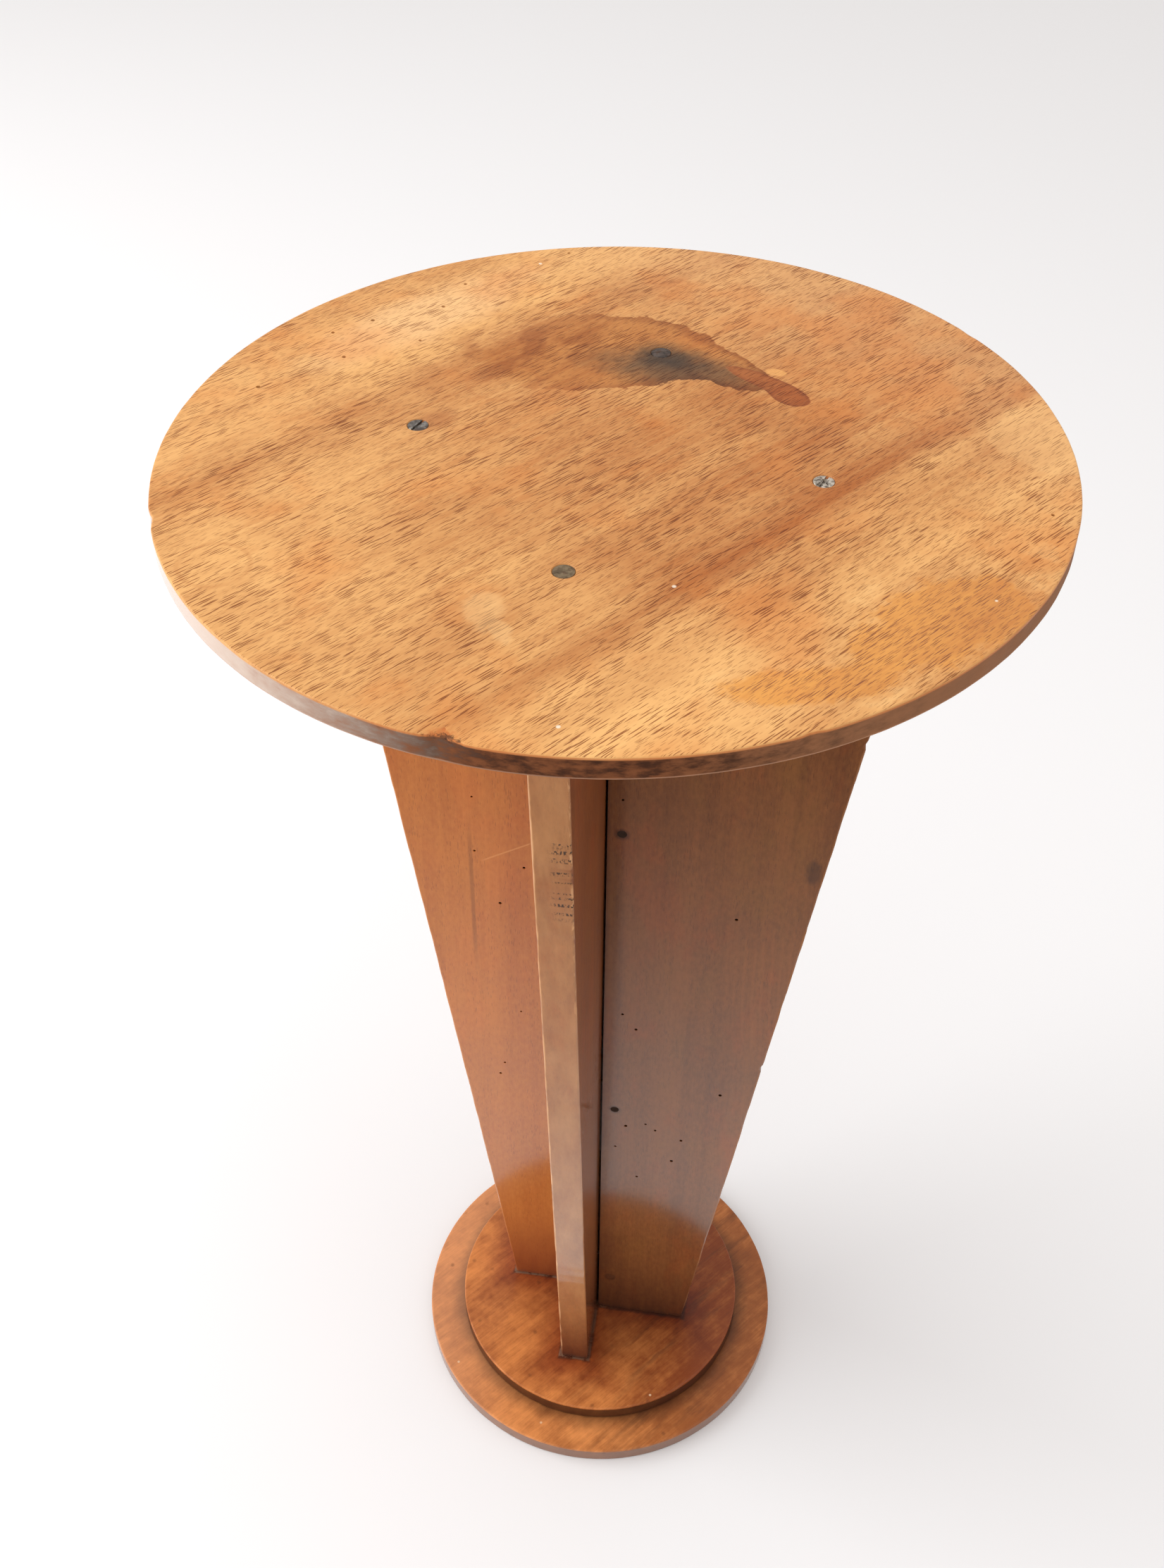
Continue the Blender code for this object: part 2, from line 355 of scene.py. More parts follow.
# %% [markdown]
# ## Pores
#
# Where a saw cuts the wood's vessels open, each leaves a thin dark dash. Cells on stretched
# coordinates give one dash to a cell. They are counted in two dimensions, because the flat face
# would cut most cells of a third one short. Only the top face has them.

# %% Pores of the top
BARE = (225, 160, 100)
PORE = (142, 78, 38)

height = f.part(f.spot(), "Z")
on_top = f.rise(height, TOP_FACE - 0.5 * MM, TOP_FACE - 0.1 * MM)
long_pores = pores(f, plank(f, 0.0180, 0.0010), plank(f, 0.06, 0.016), 0.07, 0.24, "2D")
small_pores = pores(f, plank(f, 0.0075, 0.0008), plank(f, 0.05, 0.02), 0.12, 0.24, "2D")
pore = long_pores.most(small_pores * 0.45) * on_top
wood = f.soak(pore * 0.95, wood, BARE, PORE)
print("pores laid; nodes so far:", len(f.tree.nodes))

# %% [markdown]
# ## Stain round the back screw
#
# A wet pot stood here. The water left a brown pool with a scalloped shore, a run that trickled off
# to the right, and smudges where it was wiped. The screw rusted, and iron turns such wood blue-grey.
# All the parts multiply the wood, so that grain and pores show through, and the pool leaves out
# the run, since one stain over the other would be twice as dark.

# %% Stain round the back screw
POOL = (200, 128, 68)
POOL_SHORE = (162, 94, 48)
RUN_FROM, RUN, RUN_SHORE = (215, 148, 86), (176, 100, 50), (142, 76, 40)

scallops = f.lumps(0.009, 3.0, 0.6) - 0.5
pool = blot(f, (-10, 92), (50, 32), -0.10)
pool = pool.melted(blot(f, (-34, 76), (56, 28), 0.10), 0.2)
pool = pool.melted(blot(f, (34, 84), (34, 15), -0.62), 0.2)
pool = pool + scallops * 0.42
run = blot(f, (59, 71), (22, 6), -0.58)
run = run.melted(blot(f, (71, 60), (12, 7.5), -0.75), 0.8) + scallops * 0.30
run_mask = f.rise(run, 0.99, 0.90)
rightwards = f.rise(f.part(f.spot(), "X"), -0.075, 0.0)
soft_left = f.rise(pool, 1.0, 0.55) * (1.0 - rightwards)
pool_mask = (f.rise(pool, 1.01, 0.97) * rightwards + soft_left) * (1.0 - run_mask)
wood = f.soak(pool_mask * 0.9, wood, BARE, POOL)
shore = f.rise(pool, 0.70, 0.99) * pool_mask * rightwards
wood = f.soak(shore * 0.8, wood, POOL, POOL_SHORE)
smudges = f.clouds(plank(f, 0.024, 0.014), 3.0)
fading = blot(f, (-56, 78), (52, 40), 0.35, 0.5, 0.03)
smudge = f.rise(smudges, 0.46, 0.60) * f.rise(fading, 1.1, 0.5)
wood = f.soak(smudge * 0.6, wood, (215, 150, 90), (172, 102, 54))
grey = blot(f, (20, 74), (60, 23), -0.14) + scallops * 0.5
wood = f.soak(f.rise(grey, 1.0, 0.25) * pool_mask * 0.95, wood, (205, 140, 84), (134, 100, 74))
iron = blot(f, (13, 86), (28, 19), -0.2) + scallops * 0.4
wood = f.soak(f.rise(iron, 1.0, 0.15), wood, (150, 108, 78), (84, 68, 62))
wood = f.soak(run_mask, wood, RUN_FROM, RUN)
wood = f.soak(f.rise(run, 0.55, 0.95) * run_mask * 0.6, wood, RUN, RUN_SHORE)
bright_spot = blot(f, (64, 80), (5.5, 3.3), -0.2, 0.3, 0.006)
wood = f.mix(f.rise(bright_spot, 1.05, 0.75) * 0.6, wood, paint(238, 176, 104))
halo = blot(f, (-84, 14), (15, 9), 0.9, 0.5, 0.008)
wood = f.soak(f.rise(halo, 1.1, 0.2) * 0.6, wood, (215, 150, 90), (170, 98, 52))
print("stain laid; nodes so far:", len(f.tree.nodes))

# %% [markdown]
# ## Wear, varnish and rings
#
# In front the varnish is rubbed through to a pale patch, and near the right edge it has thickened
# and gone orange, in lobes. A tide mark, three faint rings left by pots, and a few specks of paint
# are the rest of what a plant table collects.

# %% Wear, varnish and rings
PALE_WEAR = paint(240, 196, 136)
RINGS = (((120, 35), 13), ((-148, -108), 15), ((-60, 52), 17))

worn = blot(f, (-36, -120), (9, 14), 0.3, 0.9, 0.009)
worn = worn.least(blot(f, (-27, -133), (5, 9), 0.6, 0.9, 0.007))
wood = f.mix(f.rise(worn, 1.15, 0.6) * 0.34, wood, PALE_WEAR)
lobes = f.lumps(0.024, 5.0, 0.62) - 0.5
orange = blot(f, (142, -100), (42, 22), 0.75)
orange = orange.least(blot(f, (94, -146), (30, 12), 0.35))
orange = orange + lobes * 1.9
orange_mask = f.rise(orange, 1.15, 0.80)
wood = f.soak(orange_mask * 0.72, wood, (236, 182, 108), (230, 154, 40))
pale = f.rise(orange, 1.15, 1.30) * f.rise(orange, 1.60, 1.35) * f.rise(blotch, 0.50, 0.62) * 0.2
wood = f.mix(pale, wood, paint(246, 204, 140))
tide = blot(f, (206, 44), (46, 36), 0.2, 0.5, 0.030)
wood = f.mix(f.rise(tide, 1.0, 0.90) * 0.25, wood, paint(238, 190, 128))
for centre, radius in RINGS:
    ring = blot(f, centre, (radius, radius), 0.0, 0.15, 0.015)
    line = f.rise(ring, 0.86, 0.97) * f.rise(ring, 1.10, 1.0)
    wood = f.mix(line * 0.20, wood, paint(168, 96, 46))
specks = f.rise(f.cells(f.spot(size=(0.055, 0.055, 0.055))), 0.020, 0.012)
wood = f.mix(specks * 0.8, wood, paint(244, 230, 210))
print("wear laid; nodes so far:", len(f.tree.nodes))

# %% [markdown]
# ## Edge and underside of the top
#
# The rim was left as sawn: dark in front, where hands and clothes rub it, and paler towards the
# right. Towards the far left it is painted pale, a painted highlight of the glare there, and a thin
# orange line along the upper arris is a painted highlight too. The walls of the holes are painted
# almost black, as painted shade, and a splinter near the front has left a dark place. The underside
# never saw varnish. A coat stands for varnish where it is thick.

# %% Edge and underside of the top
SAWN_DARK, SAWN_LIGHT = paint(66, 36, 20), paint(122, 72, 42)

edge = f.rise(height, TOP_FACE - 1.0 * MM, TOP_FACE - 1.8 * MM)
arris = f.rise(height, TOP_FACE - 0.35 * MM, TOP_FACE - 0.8 * MM)
mottle = f.clouds(f.spot(size=(0.009, 0.009, 0.0035)), 5.0, 0.65)
sideways = f.part(f.spot(), "X") + (mottle - 0.5) * 0.10
sawn = f.mix(f.rise(mottle, 0.34, 0.66), SAWN_DARK, SAWN_LIGHT)
sawn = f.mix(f.rise(sideways, 0.03, 0.14) * 0.8, sawn, paint(150, 104, 72))
# The far left of the rim. It is painted pale there, as a painted highlight of glare, and gets a full
# coat.
west = f.rise(sideways, -0.02, -0.15)
# A thin orange line along the upper arris: a painted highlight where the arris catches grazing light. It
# is left out at the far left.
wood = f.mix(arris * (1.0 - west) * 0.6, wood, paint(184, 94, 42))
sawn = f.mix(west * 0.8, sawn, paint(214, 184, 160))
lower_line = f.rise(height, TOP_UNDER + 1.3 * MM, TOP_UNDER + 0.8 * MM)
sawn = f.mix(lower_line * 0.5, sawn, paint(196, 150, 120))
wood = f.mix(edge, wood, sawn)
ragged = f.clouds(f.spot(size=(0.002, 0.002, 0.001)), 3.0, 0.7) - 0.5
splinter = f.spot((-37 * MM, -197 * MM, TOP_FACE), (6.5 * MM, 3.0 * MM, 2.2 * MM))
chip = f.length(splinter) + ragged * 2.6
wood = f.mix(f.rise(chip, 1.15, 0.65) * 0.8, wood, paint(66, 38, 24))
oval = f.length(f.spot((0, 0, 0), (TOP_LONG / 2, TOP_SHORT / 2, 1000), (0, 0, GRAIN)))
# The walls of the screw holes and worm holes are painted almost black, as painted shade.
hole_shade = edge * f.rise(oval, 0.985, 0.975) * f.rise(height, TOP_UNDER, TOP_UNDER + MM)
wood = f.mix(hole_shade, wood, HOLE_SHADE)

under = f.rise(height, TOP_UNDER + 0.4 * MM, TOP_UNDER + 0.1 * MM) * f.rise(oval, 1.0, 0.985)
plain = f.mix(f.rise(tone, -0.25, 1.25), paint(112, 68, 38), paint(168, 112, 66))
wood = f.mix(under, wood, plain)
west = west * (1.0 - under)
sheen = f.lumps(0.05, 3.0)
f.wear(
    Base_Color=wood,
    Specular_IOR_Level=0.14,
    Roughness=0.44 + sheen * 0.16 - orange_mask * 0.10 + edge * (1.0 - west) * 0.25,
    Coat_Weight=(orange_mask * 0.3 + 0.05) * (1.0 - edge) + edge * west,
    Coat_Roughness=0.14,
    Coat_IOR=2.0,
    Normal=f.bump(fibre * 0.15 + silk * 0.15 - pore + mottle * edge * 1.2, 0.0003, 0.5),
)
print("top finish:", len(f.tree.nodes), "nodes")

# %% [markdown]
# ## Marks on the boards
#
# Each board has marks of its own: dark wood round the plugs, a smear and the bowed lines of a knot
# on the right one, a scratch and a dark streak on the left one, and rows of torn teeth on the front
# one's edge, where a plane ran against the grain. Each is one function that returns the wood with
# its mark laid on.

# %% Marks on the boards
BOARD_THICK = 18 * MM
BOARD_FOOT_WIDTH = 59 * MM
right_low, right_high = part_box("right_board")
BOARD_TOP_WIDTH = right_high.x
BOARD_LOW, BOARD_HIGH = right_low.z, right_high.z
SLOPE = (BOARD_TOP_WIDTH - BOARD_FOOT_WIDTH) / (BOARD_HIGH - BOARD_LOW)
QUARTERS = {"right": 0, "back": 1, "left": 2, "front": 3}
LEVELS = ("low", "middle", "high")


def quarter_turn(side):
    """Turns the right board's place to another board's."""
    return Matrix.Rotation(QUARTERS[side] * math.pi / 2, 4, "Z")


def plug_halos(f, wood, side, rubbed):
    """Darkens the wood round each plug, where the filler's oil soaked in."""
    reach = 4.4 * MM
    for level in LEVELS:
        middle = middle_of("plug_" + side + "_" + level)
        around = f.length(f.spot(middle, (reach, reach, reach))) + (rubbed - 0.5) * 0.9
        wood = f.mix(f.rise(around, 1.1, 0.65) * 0.55, wood, paint(56, 32, 20))
    return wood


def torn_rows(f, edge, y, z):
    """Where the front board's edge is torn: rows of small teeth, between two heights."""
    rows = f.rise(f.clouds(f.spot((0, 0, 0.553), (1, 1, 0.0042)), 1.0), 0.50, 0.58)
    teeth = f.rise(f.clouds(f.spot(size=(0.0009, 0.0009, 0.0022)), 2.0), 0.47, 0.58)
    patch = f.rise(z, 0.516, 0.522) * f.rise(z, 0.578, 0.574) * f.rise(y, -0.012, -0.006)
    return rows * teeth * patch * edge


def smear_and_knot(f, wood, x, z, grime, blotch):
    """The right board's dark smear near its outer edge, and the bowed lines lower down."""
    smear = f.length(f.spot((0.108, -0.018, 0.463), (0.0045, 0.02, 0.010))) + (grime - 0.5) * 1.6
    wood = f.mix(f.rise(smear, 1.1, 0.5) * 0.55, wood, paint(52, 32, 24))
    bowed = f.length(f.spot((0.185, -0.018, 0.40), (1.0, 1.0, 3.0)))
    rings = f.node("ShaderNodeMath", {"operation": "SINE"}, {0: bowed * 1300.0 + (blotch - 0.5) * 9.0})
    where = f.rise(x, 0.062, 0.080) * f.rise(z, 0.30, 0.34) * f.rise(z, 0.44, 0.38)
    return f.mix(f.rise(rings, 0.2, 1.0) * where * 0.16, wood, paint(172, 102, 52))


def scratch_and_streak(f, wood, x, z, broad):
    """The left board's redder foot, a slanting scratch, and a dark streak along the grain."""
    wood = f.mix(f.rise(z, 0.14, 0.04) * 0.5, wood, paint(172, 84, 44))
    slant = (z - 0.436) + (x - 0.055) * 0.62
    scratch = f.rise(slant.size(), 0.8 * MM, 0.3 * MM) * f.rise(x, 0.040, 0.044) * f.rise(x, 0.070, 0.066)
    wood = f.mix(scratch * 0.5, wood, paint(226, 160, 92))
    stripe = f.rise((x - 0.076 + (broad - 0.5) * 0.004).size(), 1.6 * MM, 0.5 * MM)
    stripe = stripe * f.rise(z, 0.33, 0.37) * f.rise(z, 0.47, 0.42)
    return f.mix(stripe * 0.35, wood, paint(90, 48, 24))


print("boards from", round(BOARD_LOW, 4), "to", round(BOARD_HIGH, 4))

# %% [markdown]
# ## Wood of the boards
#
# The boards are plainer: an even brown, with upright fibre and a semi-gloss varnish that mirrors
# the pale floor further up and the orange foot further down. A mirror of that kind comes from the
# shader's coat. Each board gets its own shade and its own stretch of noise, so that no two match.
# The shades are partly the boards' own tone and partly painted light and shade: lighter on the lit
# left board, darker on the right and front ones, which stand in shade. Each board is also painted
# darker near the joint and towards its foot, as grime and painted shade.

# %% Finish of the boards
# The colour of grime and painted shade near the joint and at the foot of each board.
GRIME_AND_SHADE = paint(62, 28, 16)
# The pale colour of rubbed arrises: wear, and on the front board partly a painted highlight.
RUBBED_AND_LIT_ARRIS = paint(228, 176, 130)


def board_finish(side, light, dark, patches, gloss_high, rubbed_to, wear):
    """Varnished wood with upright grain. The board's own X runs outwards, its Y across its edge."""
    f = Finish(side + "_board_wood")
    turn = (0, 0, QUARTERS[side] * math.pi / 2)
    shift = (0.37 * QUARTERS[side], 0.11 * QUARTERS[side], 0.2)
    own = f.spot((0, 0, 0), (1, 1, 1), turn)
    x, y, z = f.part(own, "X"), f.part(own, "Y"), f.part(own, "Z")
    broad = f.clouds(f.spot(shift, (0.030, 0.030, 0.60)), 2.0)
    streak = f.clouds(f.spot(shift, (0.0060, 0.0060, 0.20)), 4.0, 0.6)
    fibre = f.clouds(f.spot(shift, (0.0010, 0.0010, 0.03)), 2.0, 0.6)
    blotch = f.clouds(f.spot(shift, (0.050, 0.050, 0.07)), 4.0, 0.6)
    speckle = f.clouds(f.spot(shift, (0.0022, 0.0022, 0.0050)), 4.0, 0.65)
    tone = (broad - 0.5) * 0.9 + (streak - 0.5) * 0.6 + (fibre - 0.5) * 0.3 + (blotch - 0.5) * 0.8
    wood = f.mix(f.rise(tone + (speckle - 0.5) * 0.9, -0.5, 0.5), paint(*dark), paint(*light))
    reddish = f.clouds(f.spot((0.7, 0.3, shift[2]), (0.022, 0.022, 0.055)), 4.0, 0.6)
    wood = f.soak(f.rise(reddish, 0.50, 0.68) * patches, wood, (138, 84, 46), (158, 78, 38))
    wood = f.soak(f.rise(reddish, 0.48, 0.32) * patches, wood, (138, 80, 46), (132, 83, 42))
    fleck = pores(f, f.spot(shift, (0.0010, 0.0010, 0.007)), f.spot(shift, (0.01, 0.01, 0.05)), 0.1, 0.3)
    wood = f.mix(fleck * 0.22, wood, paint(70, 36, 20))

    grime = f.clouds(f.spot(shift, (0.006, 0.006, 0.02)), 3.0)
    # Darker near the joint between the boards and towards the foot: grime, and painted shade in the
    # corners and at the foot.
    near_joint = f.rise(x, 15 * MM, 6 * MM) * 0.34 + f.rise(x, 4 * MM, 1 * MM) * 0.3
    near_foot = f.rise(z, BOARD_LOW + 10 * MM, BOARD_LOW + 1 * MM) * 0.75
    near_foot = near_foot.most(f.rise(z, BOARD_LOW + 80 * MM, BOARD_LOW) * 0.62)
    grime_and_shade = near_joint.most(near_foot) * (0.5 + grime)
    wood = f.mix(grime_and_shade, wood, GRIME_AND_SHADE)

    outer = (z - BOARD_LOW) * SLOPE + BOARD_FOOT_WIDTH - x
    off_face = BOARD_THICK / 2 - (y + BOARD_THICK / 2).size()
    edge = f.rise(outer, 1.6 * MM, 0.5 * MM)
    # The pale line along the outer arrises: wear, and on the front board partly a painted highlight.
    worn_and_lit_line = f.rise(outer + off_face + (grime - 0.5) * 1.8 * MM, 1.4 * MM, 0.7 * MM)
    rubbed = f.clouds(f.spot(shift, (0.012, 0.012, 0.045)), 4.0, 0.6)
    wood = f.mix(edge * (rubbed * 0.9 - 0.05) * f.rise(z, 0.02, 0.16), wood, paint(*rubbed_to))
    # On the front board one arris keeps a whole thin pale line, a painted highlight where it catches the
    # light. The other is pale only in flakes, which are wear.
    if side == "front":
        flakes = f.clouds(f.spot(size=(0.004, 0.004, 0.011)), 3.0)
        flakes = f.rise(flakes, 0.50, 0.58) * f.rise(z, 0.40, 0.50)
        worn_and_lit_line = worn_and_lit_line * (f.rise(y, -0.009, -0.011) + f.rise(y, -0.004, -0.001) * flakes)
    wood = f.mix(worn_and_lit_line * wear, wood, RUBBED_AND_LIT_ARRIS)
    # Inside the holes the board is painted almost black, as painted shade.
    hole_shade = f.rise(off_face.least(outer - 1.4 * MM), 0.4 * MM, 0.9 * MM)
    wood = f.mix(hole_shade, wood, HOLE_SHADE)
    tears = 0.0
    if side == "front":
        tears = torn_rows(f, edge, y, z)
        wood = f.mix(tears * 0.9, wood, paint(40, 26, 18))
    wood = plug_halos(f, wood, side, rubbed)
    if side == "right":
        wood = smear_and_knot(f, wood, x, z, grime, blotch)
    if side == "left":
        wood = scratch_and_streak(f, wood, x, z, broad)
    gloss = f.rise(z, 0.62, 0.10) * (1.0 - gloss_high) + gloss_high
    f.wear(
        Base_Color=wood,
        Roughness=0.42 + blotch * 0.12,
        Specular_IOR_Level=0.08,
        Coat_Weight=gloss * (1.1 - blotch * 0.25) - worn_and_lit_line * 0.4,
        Coat_Roughness=0.13,
        Coat_IOR=1.85,
        Normal=f.bump(fibre * 0.3 - fleck * 0.5 + streak * 0.3 - tears * 3.0, 0.0002, 0.45),
    )
    return f


# For each board: its light and dark shade, partly its own tone and partly painted light and shade
# (lighter on the lit left board, darker on the shaded right and front ones), how patchy it is, how
# glossy it is high up, and what colour its outer edge is rubbed to and how much, a pale line that on
# the front board is partly a painted highlight
BOARD_LOOKS = {
    "left": ((204, 126, 58), (178, 101, 44), 0.10, 0.05, (200, 140, 90), 0.12),
    "right": ((142, 87, 44), (108, 62, 30), 0.35, 0.0, (150, 98, 62), 0.12),
    "front": ((150, 87, 46), (120, 66, 36), 0.30, 0.10, (206, 150, 96), 0.62),
    "back": ((170, 102, 52), (140, 78, 40), 0.30, 0.20, (180, 120, 78), 0.3),
}
board_finishes = {side: board_finish(side, *look) for side, look in BOARD_LOOKS.items()}
print("board finishes:", sorted(board_finishes))

# %% [markdown]
# ## Wood of the foot
#
# The two discs are of redder wood, and their faces catch the dust that runs down the boards. Dirt
# and painted shade sit where two pieces meet, and the upper disc is painted darker between the
# boards, as painted shade, so the finish needs to know how far a spot is from the upper disc and
# from the boards. A sum stands for the distance from an oblong, and the least of four is kept.

# %% Finish of the foot
STEP_RADIUS = (step_high.x - step_low.x) / 2


def near_boards(finish):
    """Distance from the outlines of the four boards where they stand on the foot."""
    nearest = None
    for side in SIDES:
        own = finish.spot((0, 0, 0), (1, 1, 1), (0, 0, QUARTERS[side] * math.pi / 2))
        x, y = finish.part(own, "X"), finish.part(own, "Y")
        across = (y + BOARD_THICK / 2).size() - BOARD_THICK / 2
        along = (x - BOARD_FOOT_WIDTH / 2).size() - BOARD_FOOT_WIDTH / 2
        gap = across.most(along)
        nearest = nearest.least(gap) if nearest else gap
    return nearest


def foot_finish(name, shift, light, dark, side, side_gloss, top, grime_shade_from, grime_shade_to, darker_right):
    """Varnished red-brown wood. The grime and painted shade on it fade between two distances from the
    middle.
    """
    f = Finish(name)
    turn = (0, 0, math.radians(50))
    streak = f.clouds(f.spot(shift, (0.06, 0.0060, 0.0060), turn), 4.0, 0.6)
    fibre = f.clouds(f.spot(shift, (0.012, 0.0009, 0.0009), turn), 2.0, 0.6)
    blotch = f.clouds(f.spot(shift, (0.034, 0.034, 0.034)), 5.0, 0.62)
    mottle = f.clouds(f.spot(shift, (0.006, 0.006, 0.006)), 4.0, 0.6)
    own = f.spot()
    x, z = f.part(own, "X"), f.part(own, "Z")
    tone = (streak - 0.5) * 0.65 + (mottle - 0.5) * 0.5 + (fibre - 0.5) * 0.45 + (blotch - 0.5) * 1.1
    tone = tone - f.rise(x, -0.02, 0.09) * darker_right
    wood = f.mix(f.rise(tone, -0.6, 0.5), dark, light)
    shade = f.clouds(f.spot(shift, (0.06, 0.010, 0.02), turn), 4.0, 0.6)
    wood = f.mix(f.rise(shade, 0.50, 0.66) * f.rise(x, -0.05, 0.07) * 0.50, wood, paint(92, 54, 32))
    outwards = f.length(f.spot((0, 0, top), (1, 1, 100)))
    grime = f.clouds(f.spot(size=(0.012, 0.012, 0.004)), 3.0)
    # A dark ring where the disc above stands on this one, with a darker seam right beside it: grime, and
    # painted shade round the foot of the disc above.
    grime_and_shade = f.rise(outwards + (grime - 0.5) * 0.010, grime_shade_to, grime_shade_from)
    seam = f.rise(outwards + (grime - 0.5) * 0.004, grime_shade_from + 5 * MM, grime_shade_from + 1 * MM)
    grime_and_shade = grime_and_shade.most(seam * 1.3)
    edge = f.rise(z, top - 1.0 * MM, top - 1.8 * MM)
    wood = f.mix(grime_and_shade * (1.0 - edge) * 0.58, wood, paint(46, 26, 18))
    if name == "step_wood":
        gap = near_boards(f)
        # The middle of the upper disc, between the boards, is painted darker and redder: painted shade
        # where the boards keep the light off.
        shade_between_boards = f.rise(gap + (blotch - 0.5) * 0.02, 0.030, 0.0)
        wood = f.soak(shade_between_boards * 0.9, wood, (190, 117, 69), (136, 60, 26))
        # A dark line round the foot of each board: grime, and painted shade in the corner where board and
        # disc meet.
        corner = f.rise(gap + (mottle - 0.5) * 3.0 * MM, 3.0 * MM, 0.6 * MM)
        wood = f.mix(corner * 0.7, wood, paint(44, 24, 16))
        residue = f.rise(gap + (grime - 0.5) * 2.0 * MM, 1.6 * MM, 1.0 * MM) * f.rise(mottle, 0.42, 0.52)
        wood = f.mix(residue * f.rise(x, 0.02, -0.02) * 0.32, wood, paint(168, 140, 116))
    if name == "base_wood":
        wood = f.mix(f.rise(x, -0.03, -0.11) * 0.30, wood, paint(222, 166, 130))
    wood = f.mix(edge * 0.85, wood, side)
    stains = f.rise(f.cells(f.spot(shift, (0.018, 0.018, 0.018))) + (grime - 0.5) * 0.1, 0.12, 0.02)
    wood = f.mix(stains * 0.45, wood, paint(84, 44, 24))
    specks = f.rise(f.cells(f.spot(shift, (0.022, 0.022, 0.022))), 0.045, 0.030)
    wood = f.mix(specks * 0.6, wood, paint(236, 206, 170))
    f.wear(
        Base_Color=wood,
        Specular_IOR_Level=0.2,
        Roughness=0.40 + blotch * 0.14,
        Coat_Weight=0.36 + edge * side_gloss - blotch * 0.2,
        Coat_Roughness=0.20,
        Normal=f.bump(fibre * 0.3 + streak * 0.3, 0.0002, 0.5),
    )
    return f


foot_finishes = {
    "step_disc": foot_finish(
        "step_wood",
        shift=(0.0, 0.0, 0.0),
        light=paint(222, 140, 74),
        dark=paint(134, 64, 26),
        # The upper disc's rim is painted dark brown, partly as painted shade under its lit arris.
        side=paint(56, 30, 18),
        side_gloss=-0.1,
        top=step_high.z,
        grime_shade_from=0.0,
        grime_shade_to=1 * MM,
        darker_right=0.50,
    ),
    "base_disc": foot_finish(
        "base_wood",
        shift=(0.3, 0.1, 0.0),
        light=paint(232, 150, 84),
        dark=paint(152, 86, 42),
        side=paint(118, 78, 54),
        side_gloss=0.7,
        top=base_high.z,
        grime_shade_from=STEP_RADIUS - 2 * MM,
        grime_shade_to=STEP_RADIUS + 12 * MM,
        darker_right=0.40,
    ),
}
print("foot finishes:", sorted(foot_finishes))

# %% [markdown]
# ## Steel and filler
#
# Each screw has lived its own life: one was driven often and shines, one has rusted in the wet. So
# all four share one recipe, with two colours and a polish of their own. The nail heads are hidden
# under plugs of wood filler, which is dull and lumpy and hardly mirrors at all.

# %% Finishes of the metal and the filler
RUST = paint(96, 66, 48)


def steel_finish(name, bright, dark, polish):
    """Tarnished steel, with rust in some places. A low polish value shines more."""
    f = Finish(name)
    grime = f.lumps(0.0022, 3.0)
    metal = f.mix(f.rise(grime, 0.35, 0.65), paint(*bright), paint(*dark))
    rusty = f.lumps(0.003, 2.0)
    metal = f.mix(f.rise(rusty, 0.5, 0.7) * 0.5, metal, RUST)
    f.wear(
        Base_Color=metal,
        Metallic=0.9 - grime * 0.4,
        Roughness=polish + grime * 0.3,
        Normal=f.bump(grime, 0.0002, 0.4),
    )
    return f


SCREW_LOOKS = {
    "left": ((150, 146, 140), (84, 78, 74), 0.30),
    "back": ((104, 92, 86), (72, 64, 60), 0.6),
    "right": ((214, 206, 192), (90, 80, 70), 0.2),
    "front": ((140, 122, 96), (104, 88, 68), 0.5),
}
screw_finishes = {
    side: steel_finish(side + "_screw_steel", *look) for side, look in SCREW_LOOKS.items()
}
nail_finish = steel_finish("nail_steel", (110, 104, 98), (60, 56, 54), 0.5)


def filler_finish(name, dark, light):
    """Dull wood filler, lumpy and uneven in colour."""
    f = Finish(name)
    lumps = f.lumps(0.0012, 3.0)
    f.wear(
        Base_Color=f.mix(lumps, dark, light),
        Specular_IOR_Level=0.15,
        Roughness=0.7 + lumps * 0.2,
        Normal=f.bump(lumps, 0.0003, 0.6),
    )
    return f


dark_filler = filler_finish("dark_filler", paint(38, 26, 20), paint(68, 48, 36))
brown_filler = filler_finish("brown_filler", paint(84, 48, 28), paint(112, 66, 38))
print("metal finishes:", sorted(screw_finishes), "and the nails'")

# %% [markdown]
# ## Tools for the pieces
#
# Three moves make nearly every piece here. A round one is a half profile, spun about the upright
# axis. A hole is a closed shape, taken out with a Boolean. And each finished piece is smooth but
# keeps its sharp arrises. Averaged normals would put bright smears on the flat faces beside them,
# so a Weighted Normal modifier lets the large faces decide.

# %% Helpers for pieces
SMOOTH_BELOW = math.radians(30)


def turned(profile, steps):
    """Spins a half profile of (radius, height) points round the upright axis."""
    shape = bmesh.new()
    points = [shape.verts.new((radius, 0, height)) for radius, height in profile]
    edges = [shape.edges.new(pair) for pair in zip(points, points[1:])]
    bmesh.ops.spin(
        shape,
        geom=points + edges,
        cent=(0, 0, 0),
        axis=(0, 0, 1),
        angle=math.tau,
        steps=steps,
        use_merge=True,
        use_duplicate=False,
    )
    bmesh.ops.remove_doubles(shape, verts=shape.verts[:], dist=1e-6)
    bmesh.ops.recalc_face_normals(shape, faces=shape.faces[:])
    return shape


def moved(shape, matrix):
    """Moves all of a shape, and gives it back."""
    bmesh.ops.transform(shape, matrix=matrix, verts=shape.verts[:])
    return shape


def as_object(name, shape):
    """Puts a shape into the scene as an object at the origin."""
    mesh = bpy.data.meshes.new(name)
    shape.to_mesh(mesh)
    shape.free()
    made = bpy.data.objects.new(name, mesh)
    bpy.context.scene.collection.objects.link(made)
    return made


